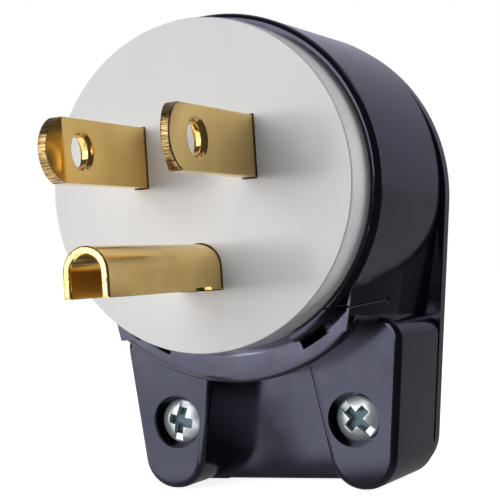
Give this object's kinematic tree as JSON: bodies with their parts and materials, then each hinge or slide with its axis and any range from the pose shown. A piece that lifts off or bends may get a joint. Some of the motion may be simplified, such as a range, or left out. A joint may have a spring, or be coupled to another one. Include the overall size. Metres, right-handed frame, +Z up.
{
  "type": "type b plug",
  "caption": "Grounded angle mains plug with two flat pins, an arch-shaped ground pin, a round white face and a clamped cord inlet that points down.",
  "frame": {"origin": "centre of the round white face, in the plane that rests on the socket", "axes": "-Y along the pins into the socket, +Y back into the housing, +Z up, the cord leaves along -Z, +X to the right seen from in front of the pins"},
  "size_m": [0.0382, 0.0528, 0.0521],
  "materials": {
    "black_plastic": "polished black, moulded",
    "white_plastic": "satin white, moulded",
    "pin_brass": "rolled and stamped brass",
    "zinc_steel": "bright zinc plating",
    "screw_brass": "turned brass",
    "screw_nickel": "nickel plating",
    "screw_green": "green passivated zinc"
  },
  "bodies": {
    "root": {"front_housing": "black_plastic", "back_cover": "black_plastic", "face_body": "white_plastic", "terminal_block": "white_plastic", "line_blade": "pin_brass", "neutral_blade": "pin_brass", "ground_pin": "pin_brass", "line_pressure_plate": "zinc_steel", "neutral_pressure_plate": "zinc_steel", "ground_pressure_plate": "zinc_steel", "line_terminal_screw": "screw_brass", "neutral_terminal_screw": "screw_nickel", "ground_terminal_screw": "screw_green", "clamp_screw_left": "zinc_steel", "clamp_screw_right": "zinc_steel", "clamp_nut_left": "zinc_steel", "clamp_nut_right": "zinc_steel", "cover_screw_top": "zinc_steel", "cover_screw_left": "zinc_steel", "cover_screw_right": "zinc_steel", "retainer_screw_left": "zinc_steel", "retainer_screw_right": "zinc_steel"}
  },
  "joints": []
}
